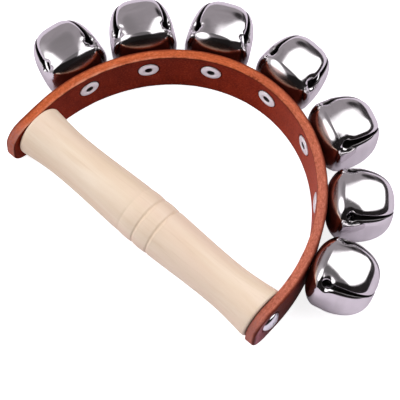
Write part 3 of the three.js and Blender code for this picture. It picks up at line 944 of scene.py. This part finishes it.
def make_leather():
    """Thick dyed leather: red-brown flesh side, darker glossy grain side, and tan fibrous cut edges."""
    material, nodes, shader = new_material("strap_leather")
    place = mark_place(nodes, "along", "depth", "rise")
    marks = ("edge", "outer", "depth", "brink", "along", "tip")
    edge, outer, depth, brink, along, tip = (mark_value(nodes, name) for name in marks)
    streaks = placed_group(nodes, streaks_group, Vector=place, Scale=520.0)
    mottle = nodes.noise(place, 150.0, detail=5)
    grain = nodes.noise(place, 1200.0, detail=3, roughness=0.6)
    # Towards the tails' ends, in grainy patches, the outer face turns paler and pinker and the cut edges take
    # their worn colour
    tip_tone = nodes.product(tip, nodes.ramp(grain, 0.35, 0.65, 0.3, 0.9))

    flesh = nodes.tint(FLESH_DARK, FLESH_RED, mottle, *NOISE_SPAN)
    # Painted light and sheen: the flesh side grows paler towards the right-hand leg
    flesh = nodes.tint(flesh, FLESH_LIT_RIGHT, along, -5 * MM, 65 * MM, most=0.8)
    flesh = nodes.tint(flesh, FLESH_FLECK, grain, 0.5, 0.66, most=0.5)
    flesh = nodes.tint(flesh, FLESH_PORE, grain, 0.47, 0.33, most=0.6)
    # Painted shade: the flesh side darkens in the dimples round the rivet flanges
    flesh = nodes.tint(flesh, FLESH_FLANGE_SHADE, depth, 0.1 * MM, 0.4 * MM, most=0.75)
    skin = nodes.tint(SKIN_DARK, SKIN_RED, mottle, *NOISE_SPAN)
    broad_face = nodes.mix(outer, flesh, skin)
    broad_face = nodes.mix(nodes.product(tip_tone, outer), broad_face, SKIN_TIP_PINK)

    cut = nodes.tint(CUT_DARK, CUT_TAN, streaks["Coarse"], *NOISE_SPAN)
    # Painted sheen: the cut edges grow paler and pinker towards the right
    cut = nodes.tint(cut, CUT_SHEEN_RIGHT, along, -20 * MM, 50 * MM, most=0.4)
    speckle = nodes.noise(nodes.scaled(place, (0.6, 1, 1)), 1700.0, detail=3, roughness=0.65)
    cut = nodes.tint(cut, CUT_DARK_SPECK, speckle, 0.46, 0.66, most=0.5)
    cut = nodes.tint(cut, CUT_PALE_SPECK, speckle, 0.42, 0.28, most=0.45)
    fringe = nodes.product(
        nodes.ramp(depth, 1.3 * MM, 0.3 * MM),
        nodes.ramp(along, -20 * MM, -80 * MM, 0, 0.6),
        nodes.ramp(mottle, 0.35, 0.65),
    )
    cut = nodes.mix(fringe, cut, CUT_FRINGE)
    cut = nodes.mix(tip_tone, cut, CUT_WORN)

    on_edge = nodes.math("ADD", edge, nodes.ramp(mottle, *NOISE_SPAN, -0.2, 0.2))
    on_edge = nodes.ramp(on_edge, 0.35, 0.65)
    colour = nodes.mix(on_edge, broad_face, cut)
    from_brink = nodes.math("ADD", brink, nodes.ramp(mottle, *NOISE_SPAN, -0.3 * MM, 0.3 * MM))
    colour = nodes.tint(colour, BURNISHED, from_brink, 1.3 * MM, 0.4 * MM, most=0.85)
    nick = nodes.noise(nodes.scaled(place, (1, 0.12, 0.12)), 900.0, detail=3, roughness=0.6)
    nicked = nodes.product(
        nodes.ramp(nodes.mix_value(edge, brink, depth), 1.1 * MM, 0.4 * MM),
        nodes.ramp(nick, 0.5, 0.6),
        nodes.ramp(along, -70 * MM, -30 * MM, 0.1, 0.7),
        nodes.ramp(nodes.noise(place, 90.0, detail=2), 0.42, 0.6),
    )
    nodes.feed(shader.inputs["Base Color"], nodes.mix(nicked, colour, NICKED))

    gloss = nodes.ramp(outer, 0, 1, 0.60, 0.42)
    gloss = nodes.math("ADD", gloss, nodes.ramp(grain, *NOISE_SPAN, -0.05, 0.08))
    nodes.feed(shader.inputs["Roughness"], nodes.mix_value(on_edge, gloss, CUT_ROUGHNESS))
    pores = nodes.bump(grain, 0.25, 0.3 * MM)
    fibres = nodes.bump(nodes.product(streaks["Fine"], edge), 0.6, 0.6 * MM, pores)
    nodes.feed(shader.inputs["Normal"], fibres)
    shader.inputs["Specular IOR Level"].default_value = 0.04
    return material


# Plated metal

FOOT_LEATHER_REFLECTION = (0.19, 0.058, 0.03, 1)
FOOT_EDGE = (3.5 * MM, 2.9 * MM)
FOOT_DULLING = 0.15
HOLLOW_SHADE = (0.075, 0.066, 0.066, 1)
HOLLOW_ROUGHNESS = 0.55


def make_plate(name, colour, polish, dull, scale, own_place=None, metallic=1.0, foot_reflection=0.0,
               smudged=0.9):
    """Bright plated metal: roughness from polish to dull over smudges, faint drawn hairlines, painted shade
    in hollows.

    The marks of handling follow the piece's own place where its mesh carries one, else the object's. The
    foot of such a piece can take a painted reflection of the red-brown leather, darker, and be duller.
    """
    material, nodes, shader = new_material(name)
    place = mark_place(nodes, *own_place) if own_place else object_place(nodes)
    inside = mark_value(nodes, "inside")
    marks = placed_group(nodes, handling_group, Vector=place, Scale=scale)
    shade = [channel * smudged for channel in colour]
    plate = nodes.mix(marks["Smudge"], (*colour, 1), (*shade, 1))
    wear = nodes.math("ADD", marks["Smudge"], nodes.ramp(marks["Scratch"], *NOISE_SPAN, -0.4, 0.4))
    gloss = nodes.ramp(wear, 0, 1, polish, dull)
    if own_place:
        height = mark_value(nodes, own_place[1])
        # Painted reflection: the foot takes a darker red-brown, standing in for the leather that it mirrors
        foot = nodes.ramp(height, *FOOT_EDGE, 0, foot_reflection)
        plate = nodes.mix(foot, plate, FOOT_LEATHER_REFLECTION)
        gloss = nodes.math("ADD", gloss, nodes.product(foot, FOOT_DULLING))
    # Painted shade: a dark colour inside the bells, in the rivets' bores and in the screws' recesses
    nodes.feed(shader.inputs["Base Color"], nodes.mix(inside, plate, HOLLOW_SHADE))
    nodes.feed(shader.inputs["Roughness"], nodes.mix_value(inside, gloss, HOLLOW_ROUGHNESS))
    shader.inputs["Metallic"].default_value = metallic
    nodes.feed(shader.inputs["Normal"], nodes.bump(marks["Scratch"], 0.02, 0.1 * MM))
    return material


# Pieces


def make_jingle():
    wood, leather = make_wood(), make_leather()
    bell_plate = make_plate("bell_nickel", (0.80, 0.775, 0.79), polish=0.08, dull=0.15, scale=90.0,
                            own_place=("bell_x", "bell_y", "bell_z"), foot_reflection=0.68)
    rivet_plate = make_plate("rivet_nickel", (0.98, 0.97, 1.0), polish=0.16, dull=0.26, scale=260.0,
                             metallic=0.45, smudged=0.97)
    screw_plate = make_plate("screw_nickel", (0.90, 0.91, 0.95), polish=0.14, dull=0.24, scale=260.0)
    steel = make_plate("pellet_steel", (0.42, 0.41, 0.41), polish=0.22, dull=0.38, scale=300.0)
    make_piece("turned_handle", handle_sheets(), wood, "frame", "handle")
    make_piece("harness_strap", strap_sheets(), leather, "frame", "strap")
    stations = zip(bell_places, bell_axes, np.radians(BELL_TURNS_DEG), CRUMPLE_SEEDS)
    for number, (place, axis, turn, seed) in enumerate(stations, start=1):
        make_piece(f"petal_bell_{number}", bell_sheets(place, axis, turn, seed), bell_plate,
                   f"bell_{number}", f"bell_shell_{number}")
        make_piece(f"tube_rivet_{number}", rivet_sheets(place - axis * bell_seat, axis), rivet_plate,
                   "frame", f"bell_rivet_{number}")
        low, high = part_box(f"bell_pellet_{number}")
        make_piece(f"steel_ball_{number}", pellet_sheets(np.array((low + high) / 2)), steel,
                   f"pellet_{number}", f"bell_pellet_{number}")
    for name, side in (("left", -1), ("right", 1)):
        place = np.array(middle) + [side * (half_span + STRAP_THICKNESS), 0, 0]
        make_piece(f"wood_screw_{name}", screw_sheets(place, np.array([side, 0.0, 0.0])), screw_plate,
                   "frame", f"handle_screw_{name}")


# Stage, light and camera

FLOOR_SIZE = 6.0
FLOOR_DROP = 0.15 * MM
CAMERA_AT = middle + Vector((0.176185, -0.206423, 0.601965))
CAMERA_AIM = middle + Vector((0.009304, 0.021615, -0.0026))
CAMERA_ROLL_DEG = 5.6
CAMERA_LENS = 149.43
CAMERA_SENSOR = 36.0
WHITE = (1, 1, 1, 1)
FLOOR_GLOW = 0.84
FLOOR_ROUGHNESS = 0.9
FLOOR_COLOUR = (0.80, 0.78, 0.82, 1)
FLOOR_MIRRORED = (0.67, 0.61, 0.69, 1)
FLOOR_MIRRORED_GLOW = (0.10, 0.09, 0.10, 1)
# Softboxes that show in no reflection: name, place from the handle's middle, side and radiance
SOFTBOXES = (
    ("key", Vector((0.35, 0.75, 1.1)), 0.8, 2.8),
    ("fill", Vector((-0.9, -0.8, 0.9)), 0.9, 2.8),
)
WALL_COLOUR = (0.36, 0.33, 0.35, 1)
ZENITH_COLOUR = (0.16, 0.15, 0.155, 1)
LIGHT_COLOUR = (1.8, 1.77, 1.8, 1)
# Height of a direction where the zenith and the overhead sheet start, with the softness of that edge
ZENITH_FROM = (0.93, 0.05)
OVERHEAD_FROM = (0.05, 0.03)
LEAST_HEIGHT = 0.02
# Weights of x / z and y / z, the value where the light starts, and the softness of that edge
CEILING_EDGES = (
    (1, -0.05, -0.33, 0.09),
    (2.54, -1, -1.81, 0.35),
    (0, -1, -3.2, 0.4),
    (-1, 0, -1.4, 0.12),
    (-1.83, 1, -1.15, 0.25),
    (0.4, 1, 0.165, 0.06),
)
# Bearing from +X, height and reach in degrees, softness and colour
WALL_AREAS = (
    (168, 50, 15, 0.03, (0.27, 0.25, 0.262, 1)),
    (-148, 18, 22, 0.06, (0.55, 0.52, 0.54, 1)),
    (-40, 10, 60, 0.1, (0.014, 0.012, 0.012, 1)),
    (10, 0, 50, 0.1, (0.022, 0.019, 0.020, 1)),
    (104, 24, 10, 0.012, (0.03, 0.026, 0.028, 1)),
    (75, 4, 26, 0.04, (0.05, 0.044, 0.047, 1)),
    (-127, 37, 26, 0.035, LIGHT_COLOUR),
)


def make_floor():
    """A pale floor: a plain diffuse surface that also glows, white for the camera and dimmer in mirrors."""
    half = FLOOR_SIZE / 2
    corners = np.array([[-half, -half], [half, -half], [-half, half], [half, half]])
    points = np.concatenate([corners, np.full((4, 1), -FLOOR_DROP)], axis=1).reshape(2, 2, 3)
    floor = bpy.data.objects.new("floor", welded_mesh("floor", [sheet(points)]))
    bpy.context.scene.collection.objects.link(floor)
    material, nodes, shader = new_material("floor_white")
    path = nodes.add("ShaderNodeLightPath").outputs
    mirrored = nodes.math("MAXIMUM", path["Is Glossy Ray"], path["Is Transmission Ray"])
    seen = nodes.math("MAXIMUM", path["Is Camera Ray"], mirrored)
    nodes.feed(shader.inputs["Base Color"], nodes.mix(mirrored, FLOOR_COLOUR, FLOOR_MIRRORED))
    shader.inputs["Roughness"].default_value = FLOOR_ROUGHNESS
    shader.inputs["Specular IOR Level"].default_value = 0
    nodes.feed(shader.inputs["Emission Color"], nodes.mix(mirrored, WHITE, FLOOR_MIRRORED_GLOW))
    nodes.feed(shader.inputs["Emission Strength"], nodes.product(seen, FLOOR_GLOW))
    floor.data.materials.append(material)


def make_softboxes():
    """Square area lamps that face the handle."""
    for name, place, side, radiance in SOFTBOXES:
        data = bpy.data.lights.new(name, "AREA")
        data.size = side
        data.energy = radiance * np.pi * side ** 2
        lamp = bpy.data.objects.new(name, data)
        lamp.location = middle + place
        lamp.rotation_mode = "QUATERNION"
        lamp.rotation_quaternion = (-place).to_track_quat("-Z", "Y")
        lamp.visible_camera = lamp.visible_glossy = False
        bpy.context.scene.collection.objects.link(lamp)


def make_studio():
    """The room as the plated metal mirrors it: an overhead sheet of light, a front window and dark walls.

    The overhead sheet is an area of a level ceiling, so its edges are straight lines in x / z and y / z; the
    others are round areas about a direction. Every edge is a smooth step.
    """
    world = bpy.data.worlds.new("studio")
    world.use_nodes = True
    bpy.context.scene.world = world
    nodes = Nodes(world.node_tree)
    direction = nodes.add("ShaderNodeTexCoord").outputs["Generated"]
    x, y, z = nodes.add("ShaderNodeSeparateXYZ", {0: direction}).outputs
    ceiling = nodes.math("MAXIMUM", z, LEAST_HEIGHT)
    u, v = nodes.math("DIVIDE", x, ceiling), nodes.math("DIVIDE", y, ceiling)
    overhead = nodes.step(z, *OVERHEAD_FROM)
    for across_u, across_v, start, soft in CEILING_EDGES:
        line = nodes.math("ADD", nodes.product(u, across_u), nodes.product(v, across_v))
        overhead = nodes.product(overhead, nodes.step(line, start, soft))
    colour = nodes.mix(nodes.step(z, *ZENITH_FROM), WALL_COLOUR, ZENITH_COLOUR)
    for bearing, height, reach, soft, shade in WALL_AREAS:
        bearing, height = np.radians(bearing), np.radians(height)
        level = np.cos(height)
        centre = (level * np.cos(bearing), level * np.sin(bearing), np.sin(height))
        facing = nodes.add("ShaderNodeVectorMath", {0: direction, 1: centre}, operation="DOT_PRODUCT")
        area = nodes.step(facing.outputs["Value"], np.cos(np.radians(reach)), soft)
        colour = nodes.mix(area, colour, shade)
    colour = nodes.mix(overhead, colour, LIGHT_COLOUR)
    is_camera = nodes.add("ShaderNodeLightPath").outputs["Is Camera Ray"]
    background = world.node_tree.nodes["Background"]
    nodes.feed(background.inputs["Color"], nodes.mix(is_camera, colour, WHITE))


def make_camera():
    data = bpy.data.cameras.new("camera")
    data.sensor_width = CAMERA_SENSOR
    data.lens = CAMERA_LENS
    camera = bpy.data.objects.new("camera", data)
    camera.location = CAMERA_AT
    camera.rotation_mode = "QUATERNION"
    level = (CAMERA_AIM - CAMERA_AT).to_track_quat("-Z", "Y")
    camera.rotation_quaternion = level @ Quaternion((0, 0, 1), np.radians(CAMERA_ROLL_DEG))
    bpy.context.scene.collection.objects.link(camera)
    bpy.context.scene.camera = camera


make_camera()
make_floor()
make_softboxes()
make_studio()
make_jingle()
bpy.context.scene.view_settings.view_transform = "Standard"
